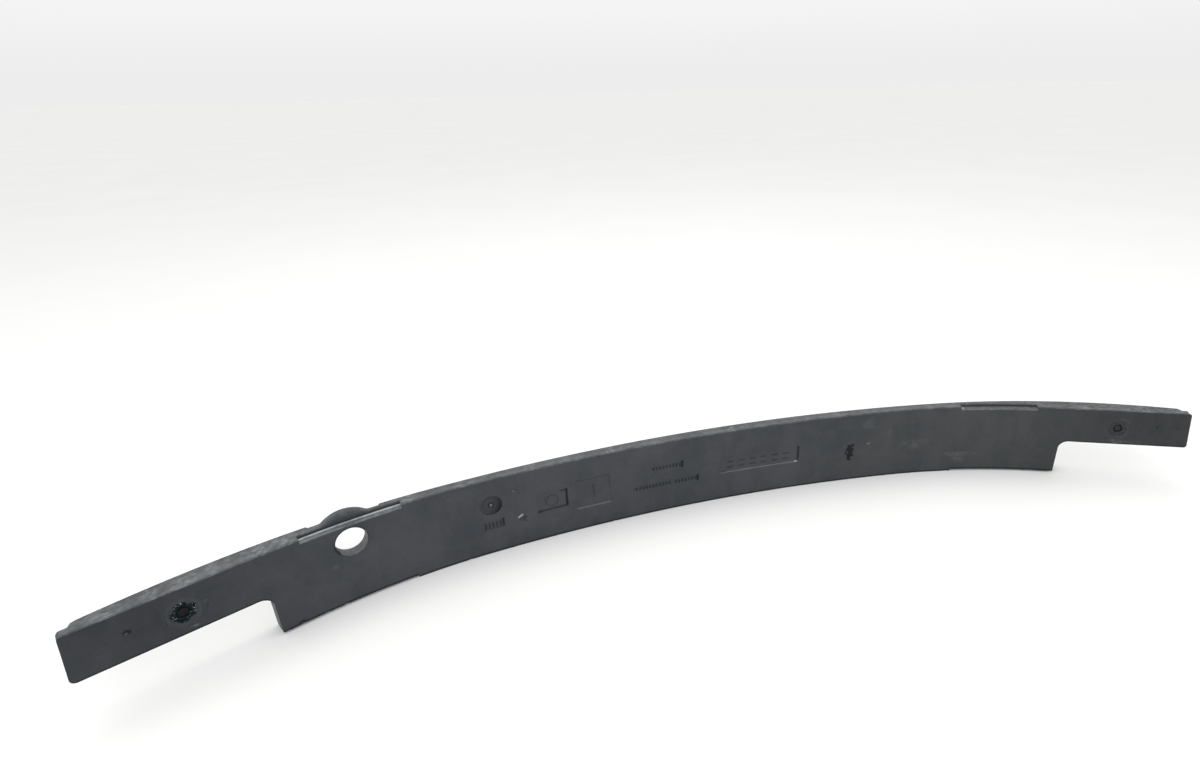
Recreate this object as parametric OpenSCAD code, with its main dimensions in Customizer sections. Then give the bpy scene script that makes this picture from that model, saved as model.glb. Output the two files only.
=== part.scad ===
// Front bumper energy absorber: one bowed foam moulding with a notch under each arm, a tow-eye
// passage, beam rebates, and a push-in retaining clip with a spreader pin in each arm.
// Millimetres. +X along the bar, +Y towards the bumper cover (convex side), +Z up.
// The origin is on the bar's centre plane, at the middle of the bottom edge's thickness.

/* [Bar] */
// Height of the bar between its notches
bar_h = 100; // [90:1:110]
// Distance from the centre plane to an arm's end, along X at the inner face
half_len = 629; // [615:1:645]
// Wall thickness at the centre plane
mid_t = 16; // [14:0.5:20]

/* [Inner face] */
// Radius of the long middle arc of the inner face
inner_r = 1790; // [1600:10:2100]
// Where the middle arc ends, from the centre plane
inner_arc_x = 277; // [260:1:290]
// Radius of the tighter bend between the middle arc and a straight arm
bend_r = 700; // [650:10:800]
// Where the bend ends and the straight arm starts, from the centre plane
bend_x = 478; // [465:1:482]

/* [Outer face] */
// Radius of the middle arc of the outer face
outer_r = 1660; // [1600:10:1750]
// Where the outer middle arc ends, from the centre plane
outer_arc_x = 331; // [320:1:345]
// Radius of the outer face from there to the ends
outer_end_r = 825; // [800:5:860]

/* [Arms and notches] */
// Distance from the centre plane to a notch's upright wall
notch_x = 488; // [486:1:500]
// Height of the notch under each arm
notch_h = 50; // [42:1:56]
// Radius of the fillet at the top of the notch wall
notch_fillet = 11; // [6:1:16]
// How far the top of an arm's end leans in over the arm's height
end_lean = 5.5; // [0:0.5:8]
// Length of the thin tip at each arm's end
tip_len = 10; // [6:1:14]
// Thickness of the thin tip
tip_t = 10; // [8:0.5:12]

/* [Beam rebates] */
// Start of the rebate in the top inner edge, from the centre plane
ledge_x0 = 360; // [350:1:366]
// End of the rebate in the top inner edge, from the centre plane
ledge_x1 = 456; // [450:1:462]
// Depth of the top rebate below the bar's top
ledge_depth = 4; // [3:0.5:5]
// Width of both rebates, measured from the inner face
ledge_w = 9.5; // [8:0.5:10.5]
// Start of the rebate under the bottom inner edge, which runs on to the notch
base_rebate_x = 357; // [345:1:370]
// Height of the bottom rebate
base_rebate_h = 2.5; // [1.5:0.5:3.5]

/* [Tow-eye passage] */
// Distance of the passage from the centre plane, along X on the inner face
tow_x = 412.5; // [405:0.5:420]
// Height of the passage's axis above the bottom edge
tow_z = 75; // [72:0.5:77]
// Diameter of the passage
tow_d = 32.5; // [28:0.5:36]
// Outer radius of the wall that humps over the passage
hump_r = 34; // [31:0.5:36]
// Radius of the concave fillets beside the hump
hump_fillet = 8; // [4:1:12]
// Width of the shallow relief in the outer face round the passage
relief_w = 68; // [60:1:76]
// Depth of that relief
relief_depth = 3; // [2:0.5:4]
// Lower edge of that relief above the bottom edge
relief_z = 38; // [30:1:45]

/* [Retaining clips] */
// Distance of a clip's axis from the centre plane, along X on the inner face
clip_x = 550.5; // [545:0.5:560]
// Height of a clip's axis above the bottom edge
clip_z = 73; // [70:0.5:76]
// Diameter of the shallow round seat that is moulded round a clip
seat_d = 31; // [28:1:34]
// Depth of that seat
seat_depth = 1.2; // [0.8:0.1:1.6]
// Diameter of the clip's flange
flange_d = 23; // [21:0.5:25]
// Thickness of the clip's flange
flange_t = 2.4; // [2.2:0.1:3]
// Diameter of the clip's shank between its barbs
shank_d = 12; // [11:0.5:13]
// Diameter over the clip's barbs
barb_d = 15; // [14:0.5:17]
// Length of the shank under the flange
shank_len = 14; // [13:0.5:15]
// Diameter of the spreader pin's shaft
pin_d = 6; // [5:0.5:6.5]
// Radial clearance between the pin's shaft and its bore
pin_gap = 0.05; // [0.03:0.01:0.1]
// Diameter of the spreader pin's head
pin_head_d = 8.4; // [8:0.1:8.6]

/* [Hidden] */
$fn = 96;

// A face is [y at the centre plane, middle arc radius, its end x, next arc radius, its end x].
far = 10000;
INNER = [-mid_t / 2, inner_r, inner_arc_x, bend_r, bend_x];
OUTER = [mid_t / 2, outer_r, outer_arc_x, outer_end_r, far];
trim = 24;          // spare length beyond each arm's end before it is cut to length
step = 15;          // longest straight step along a curved face
over = 5;           // how far a cutter passes a surface
deep = 80;          // a cutter that has to pass the whole thickness

// Depth of the shallow blank plates moulded into the inner face
plate_depth = 0.8;
// Blank plates as [first x, last x, lowest z, highest z]
PLATES = [
    [-281, -256, 33, 44],
    [-215, -178, 39, 63],
    [-166.5, -123.5, 30, 70],
    [26, 135, 39, 62]
];

star_points = 7;
star_r = 8;         // tips of the ragged mouth in the flange
star_depth = 1.8;
mouth_gap = 0.3;    // between the pin's head and the mouth's inner points
barb_n = 3;
barb_pitch = 4;
barb_len = 2.4;
slot_w = 1.2;
slot_z = 6;         // where the shank's slots start under the flange
pin_tip_len = 3;
pin_point_r = 1.2;

// Lean of a face's tangent at x, in degrees
function turn1(c) = asin(c[2] / c[1]);
function cx2(c) = c[2] - c[3] * sin(turn1(c));
function cy2(c) = c[0] - c[1] * (1 - cos(turn1(c))) - c[3] * cos(turn1(c));
function lean(c, x) =
    x < 0 ? -lean(c, -x) :
    x <= c[2] ? asin(x / c[1]) :
    x <= c[4] ? asin((x - cx2(c)) / c[3]) :
    asin((c[4] - cx2(c)) / c[3]);
// y of a face at x
function face_y(c, x) =
    x < 0 ? face_y(c, -x) :
    x <= c[2] ? c[0] - c[1] * (1 - cos(lean(c, x))) :
    x <= c[4] ? cy2(c) + c[3] * cos(lean(c, x)) :
    cy2(c) + c[3] * cos(lean(c, x)) - tan(lean(c, x)) * (x - c[4]);
// The point w outwards from a face, square to it
function beside(c, x, w) = [x + w * sin(lean(c, x)), face_y(c, x) + w * cos(lean(c, x))];
// Points along a face from x0 to x1 at offset w
function along(c, x0, x1, w) =
    let (n = ceil(abs(x1 - x0) / step))
    [for (i = [0 : n]) beside(c, x0 + (x1 - x0) * i / n, w)];

// A strip that follows a face from x0 to x1, between two offsets from it
module strip(c, x0, x1, w0, w1) {
    polygon(concat(along(c, x0, x1, w0), along(c, x1, x0, w1)));
}

// Puts children on the inner face at x: local +Y goes squarely into the foam
module at_face(x, z) {
    translate([x, face_y(INNER, x), z])
        rotate([0, 0, -lean(INNER, x)])
            children();
}

// Both arms, as mirror images
module both_arms() {
    for (side = [0, 1])
        mirror([side, 0, 0])
            children();
}

module bar_plan() {
    reach = half_len + trim;
    polygon(concat(along(INNER, -reach, reach, 0), along(OUTER, reach, -reach, 0)));
}

module notch_cut() {
    at_face(notch_x, 0)
        rotate([90, 0, 0])
            translate([0, 0, -deep])
                linear_extrude(deep + over) {
                    translate([0, -over])
                        square([half_len, notch_h + over - notch_fillet]);
                    translate([notch_fillet, -over])
                        square([half_len, notch_h + over]);
                    translate([notch_fillet, notch_h - notch_fillet])
                        circle(notch_fillet);
                }
}

module end_cut() {
    at_face(half_len, (bar_h + notch_h) / 2)
        rotate([0, -atan(end_lean / (bar_h - notch_h)), 0])
            translate([0, -deep / 2, -bar_h])
                cube([deep, deep * 2, 2 * bar_h]);
}

// The outer face steps in to a thin tip, over a short ramp
module tip_cut() {
    at_face(half_len - tip_len, -over)
        linear_extrude(bar_h + 2 * over)
            polygon([[0, tip_t], [deep, tip_t], [deep, deep], [(tip_t - deep) / 2, deep]]);
}

module ledge_cut() {
    translate([0, 0, bar_h - ledge_depth])
        linear_extrude(ledge_depth + over)
            strip(INNER, ledge_x0, ledge_x1, -over, ledge_w);
}

module base_rebate_cut() {
    translate([0, 0, -over])
        linear_extrude(base_rebate_h + over)
            strip(INNER, base_rebate_x, notch_x + over, -over, ledge_w);
}

// Side view of the hump over the passage, with its centre at the passage's axis
module hump_outline() {
    reach = hump_r + hump_fillet;
    fillet_z = bar_h - tow_z + hump_fillet;
    fillet_x = sqrt(reach * reach - fillet_z * fillet_z);
    circle(hump_r);
    difference() {
        translate([-fillet_x, 0])
            square([2 * fillet_x, fillet_z * hump_r / reach]);
        for (x = [-fillet_x, fillet_x])
            translate([x, fillet_z])
                circle(hump_fillet);
    }
}

module hump() {
    intersection() {
        translate([0, 0, tow_z])
            linear_extrude(2 * hump_r)
                polygon(concat(
                    along(INNER, tow_x - relief_w, tow_x + relief_w, ledge_w),
                    along(OUTER, tow_x + relief_w, tow_x - relief_w, 0)
                ));
        at_face(tow_x, tow_z)
            rotate([90, 0, 0])
                translate([0, 0, -deep])
                    linear_extrude(2 * deep)
                        hump_outline();
    }
}

module tow_passage() {
    at_face(tow_x, tow_z)
        rotate([-90, 0, 0])
            translate([0, 0, -over])
                cylinder(d = tow_d, h = deep);
}

module relief_cut() {
    x0 = beside(INNER, tow_x, mid_t)[0] - relief_w / 2;
    translate([0, 0, relief_z])
        linear_extrude(bar_h)
            strip(OUTER, x0, x0 + relief_w, -relief_depth, over);
}

module plate_cut(p) {
    translate([0, 0, p[2]])
        linear_extrude(p[3] - p[2])
            strip(INNER, p[0], p[1], -over, plate_depth);
}

// Half of the clip's side view: flange, shank and barbs, with the flange's front at z 0
module clip_outline() {
    square([flange_d / 2, flange_t]);
    square([shank_d / 2, flange_t + shank_len]);
    for (i = [0 : barb_n - 1])
        translate([0, flange_t + barb_pitch * i + barb_len])
            polygon([
                [shank_d / 2 - 1, 0],
                [barb_d / 2, 0],
                [shank_d / 2, barb_len],
                [shank_d / 2 - 1, barb_len]
            ]);
}

// A clip lies along its own +Z, which goes into the foam from the seat's floor
module at_clip() {
    at_face(clip_x, clip_z)
        translate([0, seat_depth, 0])
            rotate([-90, 0, 0])
                children();
}

module clip_seat() {
    at_clip() {
        translate([0, 0, -seat_depth - over])
            cylinder(d = seat_d, h = seat_depth + over);
        rotate_extrude()
            clip_outline();
    }
}

// Ragged star-shaped mouth of the flange
module mouth_outline() {
    inner = pin_head_d / 2 + mouth_gap;
    polygon([
        for (i = [0 : 2 * star_points - 1])
            (i % 2 == 0 ? star_r : inner + 0.6) * [cos(180 * i / star_points), sin(180 * i / star_points)]
    ]);
    circle(inner);
}

module clip_body() {
    at_clip()
        difference() {
            rotate_extrude()
                clip_outline();
            translate([0, 0, -over])
                linear_extrude(star_depth + over)
                    mouth_outline();
            translate([0, 0, -over])
                cylinder(d = pin_d + 2 * pin_gap, h = deep);
            for (angle = [45, 135])
                rotate([0, 0, angle])
                    translate([-barb_d, -slot_w / 2, flange_t + slot_z])
                        cube([2 * barb_d, slot_w, shank_len]);
        }
}

module clip_pin() {
    head_z = star_depth - 1;
    shaft_end = flange_t + shank_len - pin_tip_len - 1;
    at_clip()
        rotate_extrude()
            polygon([
                [0, head_z],
                [pin_head_d / 2 - 0.4, head_z],
                [pin_head_d / 2, head_z + 0.4],
                [pin_head_d / 2, star_depth],
                [pin_d / 2, star_depth],
                [pin_d / 2, shaft_end],
                [pin_point_r, shaft_end + pin_tip_len],
                [0, shaft_end + pin_tip_len]
            ]);
}

module absorber_bar() {
    color("#3b3f44")
        difference() {
            union() {
                linear_extrude(bar_h)
                    bar_plan();
                mirror([1, 0, 0])
                    hump();
            }
            both_arms() {
                notch_cut();
                end_cut();
                tip_cut();
                ledge_cut();
                base_rebate_cut();
                clip_seat();
            }
            mirror([1, 0, 0]) {
                tow_passage();
                relief_cut();
            }
            for (p = PLATES)
                plate_cut(p);
        }
}

module clip_body_left() {
    color("#15181b")
        mirror([1, 0, 0])
            clip_body();
}

module clip_pin_left() {
    color("#22262a")
        mirror([1, 0, 0])
            clip_pin();
}

module clip_body_right() {
    color("#15181b")
        clip_body();
}

module clip_pin_right() {
    color("#22262a")
        clip_pin();
}

absorber_bar();
clip_body_left();
clip_pin_left();
clip_body_right();
clip_pin_right();
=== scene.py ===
"""Looks of a front bumper energy absorber: a bowed foam bar, two retaining clips and their pins.

The shapes restate the part's own dimensions. Lengths are in millimetres until they become vertices.
"""

import math
import random

import bmesh
import bpy
import numpy as np
from mathutils import Matrix, Vector, noise


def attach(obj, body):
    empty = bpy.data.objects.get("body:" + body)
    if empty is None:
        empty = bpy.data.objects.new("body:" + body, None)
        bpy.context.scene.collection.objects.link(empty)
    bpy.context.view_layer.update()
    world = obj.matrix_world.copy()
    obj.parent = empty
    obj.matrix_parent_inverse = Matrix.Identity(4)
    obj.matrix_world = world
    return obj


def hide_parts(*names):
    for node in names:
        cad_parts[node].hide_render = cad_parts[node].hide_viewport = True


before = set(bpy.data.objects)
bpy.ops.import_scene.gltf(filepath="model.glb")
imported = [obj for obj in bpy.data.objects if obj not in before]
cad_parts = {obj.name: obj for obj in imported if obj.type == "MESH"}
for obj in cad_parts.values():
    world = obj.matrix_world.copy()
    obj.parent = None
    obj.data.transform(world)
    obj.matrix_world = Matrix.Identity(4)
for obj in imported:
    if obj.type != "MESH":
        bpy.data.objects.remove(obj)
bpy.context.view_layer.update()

MM = 0.001

# ---------------------------------------------------------------- dimensions of the part

BAR_H = 100.0
HALF_LEN = 629.0
MID_T = 16.0
# A face is (y at the centre plane, middle arc radius, its end x, next arc radius, its end x)
INNER = (-8.0, 1790.0, 277.0, 700.0, 478.0)
OUTER = (8.0, 1660.0, 331.0, 825.0, 10000.0)
NOTCH_X = 488.0
NOTCH_H = 50.0
NOTCH_FILLET = 11.0
END_LEAN = 5.5
TIP_LEN = 10.0
TIP_T = 10.0
LEDGE = (360.0, 456.0)
LEDGE_DEPTH = 4.0
LEDGE_W = 9.5
BASE_REBATE_X = 357.0
BASE_REBATE_H = 2.5
TOW_X = -412.5
TOW_Z = 75.0
TOW_R = 16.25
HUMP_R = 34.0
HUMP_FILLET = 8.0
HUMP_READ_DEPTH = 13.0  # how deep in the wall the hump's outline is read
RELIEF_W = 68.0
RELIEF_DEPTH = 3.0
RELIEF_Z = 38.0
CLIP_X = 550.5
CLIP_Z = 73.0
SEAT_R = 15.5
SEAT_DEPTH = 1.2
FLANGE_R = 11.5
FLANGE_T = 2.4
SHANK_R = 6.0
BARB_R = 7.5
SHANK_LEN = 14.0
BORE_R = 3.05
PIN_R = 3.0
PIN_HEAD_R = 4.2
MOUTH_DEPTH = 1.8
BARB_COUNT = 3
BARB_PITCH = 4.0
BARB_LEN = 2.4
SLOT_W = 1.2
SLOT_START = 6.0

# ---------------------------------------------------------------- finish of the moulding

EDGE_R = 0.9        # rounding of the foam's upper corners and ends
FOOT_R = 0.25       # rounding of its lower corners
END_CORNER_R = 3.5  # rounding of an arm's end, seen from the side
SEAM = 0.2          # run of an upright step along the bar
FACE_ROWS = 100
BACK_ROWS = 50
ARC_STEPS = 4

# Blank moulded plates as (first x, last x, lowest z, highest z, depth)
PLATE_DATE = (-281, -256, 33, 44, 0.7)
PLATE_A = (-215, -178, 39, 63, 0.8)
PLATE_B = (-166.5, -123.5, 30, 70, 0.8)
PLATE_LONG = (26, 135, 39, 62, 0.8)
STRIP_HIGH = (-70, -27, 60, 68, 0.6)
STRIP_LOW = (-93, -6, 35.5, 43.5, 0.6)
PLATES = (PLATE_DATE, PLATE_A, PLATE_B, PLATE_LONG, STRIP_HIGH, STRIP_LOW)
DIAL = (-268.0, 65.7, 12.5)
MASKS = ("rub", "soot", "gloss")
BEND_END = INNER[4]
# Bare patches along the top as (x, half length)
TOP_SCUFFS = (
    (-598, 8), (-566, 6), (-543, 10), (-522, 5), (-486, 8), (-466, 7), (-352, 6), (-300, 5),
    (-215, 6), (-120, 5), (40, 6), (190, 5), (318, 5), (505, 8), (575, 7),
)


# ---------------------------------------------------------------- plan of the bar

def turn(face):
    return math.asin(face[2] / face[1])


def lean(face, x):
    """Lean of a face's tangent at x, in radians."""
    if x < 0:
        return -lean(face, -x)
    if x <= face[2]:
        return math.asin(x / face[1])
    centre_x = face[2] - face[3] * math.sin(turn(face))
    return math.asin((min(x, face[4]) - centre_x) / face[3])


def face_y(face, x):
    """y of a face at x."""
    x = abs(x)
    angle = lean(face, x)
    if x <= face[2]:
        return face[0] - face[1] * (1 - math.cos(angle))
    centre_y = face[0] - face[1] * (1 - math.cos(turn(face))) - face[3] * math.cos(turn(face))
    return centre_y + face[3] * math.cos(angle) - math.tan(angle) * max(0.0, x - face[4])


def face_frame(x, z):
    """Origin on the inner face, and the directions along the bar, up, and into the foam."""
    angle = lean(INNER, x)
    origin = Vector((x, face_y(INNER, x), z))
    along = Vector((math.cos(angle), -math.sin(angle), 0))
    inward = Vector((math.sin(angle), math.cos(angle), 0))
    return origin, along, Vector((0, 0, 1)), inward


def wall_thickness(x):
    """Distance from the inner face to the outer face, square to the inner face."""
    origin, _, _, inward = face_frame(x, 0)
    low, high = 0.0, 60.0
    for _ in range(40):
        middle = (low + high) / 2
        point = origin + inward * middle
        if point.y < face_y(OUTER, point.x):
            low = middle
        else:
            high = middle
    return low


def thickness(x):
    """Wall thickness with the thin tip at each end."""
    tip = (HALF_LEN - TIP_LEN - abs(x)) / math.cos(lean(INNER, abs(x)))
    return min(wall_thickness(x), TIP_T + 2 * max(0.0, tip))


def bottom_z(x):
    """Height of the lower edge: the notch, its fillet and the rounded foot of its wall."""
    x = abs(x)
    if x <= NOTCH_X - EDGE_R:
        return 0.0
    if x <= NOTCH_X:
        u = (x - NOTCH_X + EDGE_R) / EDGE_R
        return EDGE_R * (1 - math.sqrt(max(0.0, 1 - u * u)))
    run = min(max(0.0, x - NOTCH_X - SEAM), NOTCH_FILLET)
    rise = math.sqrt(NOTCH_FILLET ** 2 - (NOTCH_FILLET - run) ** 2)
    return NOTCH_H - NOTCH_FILLET + rise


def hump_top(x):
    """Height of the outer wall's top, with the hump over the tow-eye passage."""
    if abs(x - TOW_X) > 40:
        return BAR_H
    origin, along, _, _ = face_frame(TOW_X, 0)
    point, _, _, inward = face_frame(x, 0)
    u = abs((point + inward * HUMP_READ_DEPTH - origin).dot(along))
    reach = HUMP_R + HUMP_FILLET
    fillet_z = BAR_H - TOW_Z + HUMP_FILLET
    fillet_x = math.sqrt(reach ** 2 - fillet_z ** 2)
    if u >= fillet_x:
        return BAR_H
    if u > fillet_x * HUMP_R / reach:
        return TOW_Z + fillet_z - math.sqrt(HUMP_FILLET ** 2 - (u - fillet_x) ** 2)
    return TOW_Z + math.sqrt(HUMP_R ** 2 - u * u)


def ramp(value, low, high):
    return min(1.0, max(0.0, (value - low) / (high - low)))


def in_ledge(x):
    x = abs(x)
    return ramp(x, LEDGE[0], LEDGE[0] + SEAM) * (1 - ramp(x, LEDGE[1] - SEAM, LEDGE[1]))


def in_base_rebate(x):
    x = abs(x)
    return ramp(x, BASE_REBATE_X, BASE_REBATE_X + SEAM) * (1 if x <= NOTCH_X else 0)


def in_relief(x):
    """1 where the outer face is set back round the passage."""
    origin, _, _, inward = face_frame(x, 0)
    passage, _, _, passage_inward = face_frame(TOW_X, 0)
    middle = (passage + passage_inward * MID_T).x
    outer_x = (origin + inward * wall_thickness(x)).x
    return 1 - ramp(abs(outer_x - middle), RELIEF_W / 2 - 0.4, RELIEF_W / 2 + 0.4)


# ---------------------------------------------------------------- stations along the bar

def stations():
    """Every x at which the bar has a cross-section, closer together where there is detail."""
    breaks = []
    for side in (-1, 1):
        for x in (
            LEDGE[0], LEDGE[0] + SEAM, LEDGE[1] - SEAM, LEDGE[1],
            BASE_REBATE_X, BASE_REBATE_X + SEAM, NOTCH_X, NOTCH_X + SEAM,
            HALF_LEN - TIP_LEN, HALF_LEN - TIP_LEN - 2.3, HALF_LEN - TIP_LEN - 1.2, HALF_LEN,
        ):
            breaks.append(side * x)
        for i in range(1, 4):
            breaks.append(side * (NOTCH_X - EDGE_R + EDGE_R * math.sin(math.pi / 2 * i / 4)))
        breaks.append(side * (NOTCH_X - EDGE_R))
        for i in range(1, 10):
            run = NOTCH_FILLET * (1 - math.cos(math.pi / 2 * i / 9))
            breaks.append(side * (NOTCH_X + SEAM + run))
    for plate in PLATES:
        breaks += [plate[0], plate[0] + SEAM * 2, plate[1] - SEAM * 2, plate[1]]
    for x in (378.0, 378.9, 445.3, 446.2):
        breaks.append(-x)
    fine = ((-286, -2, 1.0), (20, 140, 1.2), (198, 222, 1.0), (-444, -380, 1.5),
            (-575, -526, 1.6), (526, 575, 1.6), (-480, -424, 1.6),
            (-593, -584, 0.9), (587, 596, 0.9), (611, 618.5, 1.0))
    for x0, x1, step in fine:
        breaks += [x0, x1]
    breaks = sorted(breaks)
    result = [breaks[0]]
    for x0, x1 in zip(breaks, breaks[1:]):
        middle = (x0 + x1) / 2
        step = min([s for a, b, s in fine if a < middle < b] + [3.4])
        count = max(1, math.ceil((x1 - x0) / step - 0.01))
        for i in range(1, count + 1):
            x = x0 + (x1 - x0) * i / count
            if x - result[-1] > 0.04:
                result.append(x)
    return result


# ---------------------------------------------------------------- marks on the inner face

def band(distance, width=1.0):
    """1 inside a shape, 0 outside, from its signed distance."""
    t = np.clip(0.5 - distance / width, 0, 1)
    return t * t * (3 - 2 * t)


def box_distance(x, z, x0, x1, z0, z1):
    dx = np.abs(x - (x0 + x1) / 2) - (x1 - x0) / 2
    dz = np.abs(z - (z0 + z1) / 2) - (z1 - z0) / 2
    return np.maximum(dx, dz)


def spot_distance(x, z, cx, cz, rx, rz):
    return (np.hypot((x - cx) / rx, (z - cz) / rz) - 1) * min(rx, rz)


def stroke_distance(x, z, x0, z0, x1, z1, half):
    dx, dz = x1 - x0, z1 - z0
    t = np.clip(((x - x0) * dx + (z - z0) * dz) / (dx * dx + dz * dz), 0, 1)
    return np.hypot(x - x0 - t * dx, z - z0 - t * dz) - half


def rough(x, z, size, seed):
    """Smooth noise from -1 to 1 over the face."""
    flat = [noise.noise(Vector((a / size, b / size, seed))) for a, b in zip(x.ravel(), z.ravel())]
    return np.array(flat).reshape(x.shape) * 1.6


class Surface:
    """Depth of the inner face's marks, and the masks that its material reads."""

    def __init__(self, x, z):
        self.x, self.z = x, z
        self.depth = np.zeros_like(x)
        self.rub = np.zeros_like(x)
        self.soot = np.zeros_like(x)
        self.gloss = np.zeros_like(x)

    def add(self, mask, depth=0.0, rub=0.0, soot=0.0, gloss=0.0):
        self.depth += mask * depth
        self.rub = np.maximum(self.rub, mask * rub)
        self.soot = np.maximum(self.soot, mask * soot)
        self.gloss = np.maximum(self.gloss, mask * gloss)

    def plate(self, plate):
        x0, x1, z0, z1, depth = plate
        self.add(band(box_distance(self.x, self.z, x0, x1, z0, z1)), depth=depth)

    def line(self, x0, z0, x1, z1, half, **effect):
        self.add(band(stroke_distance(self.x, self.z, x0, z0, x1, z1, half)), **effect)

    def spot(self, cx, cz, rx, rz, **effect):
        soft = effect.pop("soft", 1.0)
        self.add(band(spot_distance(self.x, self.z, cx, cz, rx, rz), soft), **effect)

    def ribs(self, plate, pitch, width, gaps=()):
        """Evenly spaced plain ribs in a plate, in place of any marking."""
        x0, x1, z0, z1, depth = plate
        count = int((x1 - x0 - 3) / pitch)
        start = (x0 + x1 - (count - 1) * pitch) / 2
        for i in range(count):
            if i in gaps:
                continue
            cx = start + i * pitch
            mask = band(box_distance(self.x, self.z, cx - width / 2, cx + width / 2, z0 + 1.6, z1 - 1.6))
            self.add(mask, depth=-depth, soot=0.85)


def inner_marks(x, z):
    """All marks on the inner face: plates, ribs, dimples, scuffs and a gouge."""
    s = Surface(x, z)
    wave = rough(x, z, 46, 3.1)
    s.depth += 0.10 * wave + 0.05 * rough(x, z, 13, 7.7)
    for plate in PLATES:
        s.plate(plate)
    # small plate under the dial
    s.ribs(PLATE_DATE, 4.3, 2.0)
    # painted shade in the grooves along the plate's right and lower edges
    s.line(-256.5, 34, -256.5, 44, 0.8, depth=0.9, soot=0.9)
    s.line(-281, 33.3, -258, 33.3, 0.5, soot=0.6)
    # square plate with a plain ring, and painted shade in the grooves along its right and lower edges
    ring = np.abs(np.hypot(x + 197, z - 51) - 7.5) - 0.7
    s.add(band(ring), depth=0.35, soot=0.55)
    s.line(-178.4, 40, -178.4, 63, 1.1, depth=1.2, soot=0.95)
    s.line(-215, 39.6, -179, 39.6, 0.8, depth=0.7, soot=0.7)
    s.spot(-183, 62, 3.0, 1.4, soot=0.7)
    s.spot(-212, 39.5, 3.6, 2.2, soot=0.5)
    # large square plate, blank, with a painted highlight along its lower edge and painted shade along its top and
    # right edges
    s.line(-166, 30.2, -124, 30.2, 0.3, rub=0.95)
    s.line(-164, 69, -126, 69, 0.9, depth=0.2, soot=0.3)
    s.line(-124.6, 69, -124.6, 50, 0.7, depth=0.2, soot=0.2)
    s.line(-145, 60, -144, 42, 0.7, depth=0.5, soot=0.6)
    # two strips of plain ribs
    s.ribs(STRIP_HIGH, 4.4, 2.2)
    # painted shade in the groove at each strip's right end
    s.line(-27.8, 60, -27.8, 68, 1.1, depth=0.9, soot=0.95)
    s.ribs(STRIP_LOW, 4.4, 2.2, gaps=(11,))
    s.line(-6.8, 36, -6.8, 43.5, 1.2, depth=0.9, soot=0.95)
    s.line(-93, 39, -89, 41, 0.9, soot=0.6)
    # long plate with plain blocks, painted shade along its right edge and a painted highlight along its lower
    # edge
    for i in range(6):
        cx = 39 + 15.6 * i
        for cz in (46.5, 54.5):
            block = band(box_distance(x, z, cx - 4.4, cx + 4.4, cz - 1.1, cz + 1.1))
            s.add(block, depth=-0.5, soot=0.6)
    s.line(134.4, 42, 134.4, 62, 0.9, depth=0.9, soot=0.9)
    s.line(26, 39.3, 134, 39.3, 0.45, rub=0.5)
    s.spot(131.5, 39.8, 2.6, 0.9, rub=1.0)
    s.line(26, 42, 32, 40, 0.8, soot=0.5)
    # dimples left by ejector pins, their pits painted dark as shade and their rims given painted glints
    s.spot(-234, 37.6, 4.4, 4.4, depth=1.3, soot=0.35, soft=2.2)
    s.line(-237.6, 39.6, -234, 41.4, 1.7, rub=1.0, gloss=1.0)
    s.line(-232.5, 36, -228.5, 38.5, 0.5, soot=0.8)
    s.line(-232.5, 36, -230.5, 32, 0.6, soot=0.9)
    s.spot(-239.5, 78, 2.0, 1.6, depth=0.6, soot=0.45)
    s.spot(-240.6, 77.4, 0.9, 0.8, rub=0.9)
    s.spot(-588.2, 77.4, 3.0, 2.8, depth=1.0, soot=0.95, soft=1.4)
    s.spot(-588.8, 76.2, 1.2, 1.1, rub=1.0, gloss=1.0)
    s.spot(591.5, 77, 2.4, 2.2, depth=0.9, soot=0.8, soft=1.6)
    s.spot(590.9, 76.4, 1.0, 0.9, rub=0.9, gloss=1.0)
    s.spot(615, 77, 2.2, 1.9, depth=0.5, soot=0.6, soft=1.6)
    # ragged gouge
    ragged = spot_distance(x, z, 210, 43, 5.4, 10.5) + 3.0 * rough(x, z, 4.2, 1.3)
    s.add(band(ragged, 1.2), depth=1.6, soot=1.0)
    s.spot(236, 53.5, 1.4, 1.0, rub=0.7)
    # pale scuffs and flow marks
    for cx, cz, rx, rz, amount in (
        (234.5, 85, 8, 6, 0.10), (302, 44, 6, 6, 0.11), (310, 50, 9, 4, 0.06), (288, 48, 4, 3, 0.07),
        (366, 20, 8, 7, 0.12), (364, 27, 8, 1.4, 0.22), (265, 66, 3, 9, 0.05),
        (-545.8, 55.6, 2.8, 0.8, 0.7), (-534, 76, 0.9, 1.6, 0.2), (-300, 88, 18, 6, 0.04),
        (-432, 52, 3.0, 2.0, 0.08), (562, 54, 7, 0.9, 0.22), (-606, 66, 4, 10, 0.04),
    ):
        wander = 1.8 if rx > 4 else 0.5
        torn = 0.6 * spot_distance(x, z, cx, cz, rx, rz) + wander * rough(x, z, 3.4, cx)
        s.add(band(torn, 5.0 if rx > 4 else 1.2), rub=amount)
    # dark halo on one side of the left clip's seat, and a trail of debris at the right one
    halo = np.abs(np.hypot(x + 550.5, z - 73) - 16.2) - 1.2
    s.add(band(halo, 2.0) * np.clip((x + 545) / 8, 0, 1) * np.clip((86 - z) / 10, 0, 1), soot=0.6)
    haze = spot_distance(x, z, 551, 73, 17, 19) + 4.0 * rough(x, z, 7.0, 6.4)
    s.add(band(haze, 9.0), soot=0.24)
    trail = spot_distance(x, z, 549, 62, 3.2, 12) + 2.4 * rough(x, z, 4.0, 4.4)
    s.add(band(trail, 3.0), rub=0.20)
    for cx, cz, r in ((551.5, 85.5, 1.5), (548, 55, 1.6), (552, 51.5, 2.0), (557, 54, 1.2)):
        s.spot(cx, cz, r, r * 0.8, rub=0.5)
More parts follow.
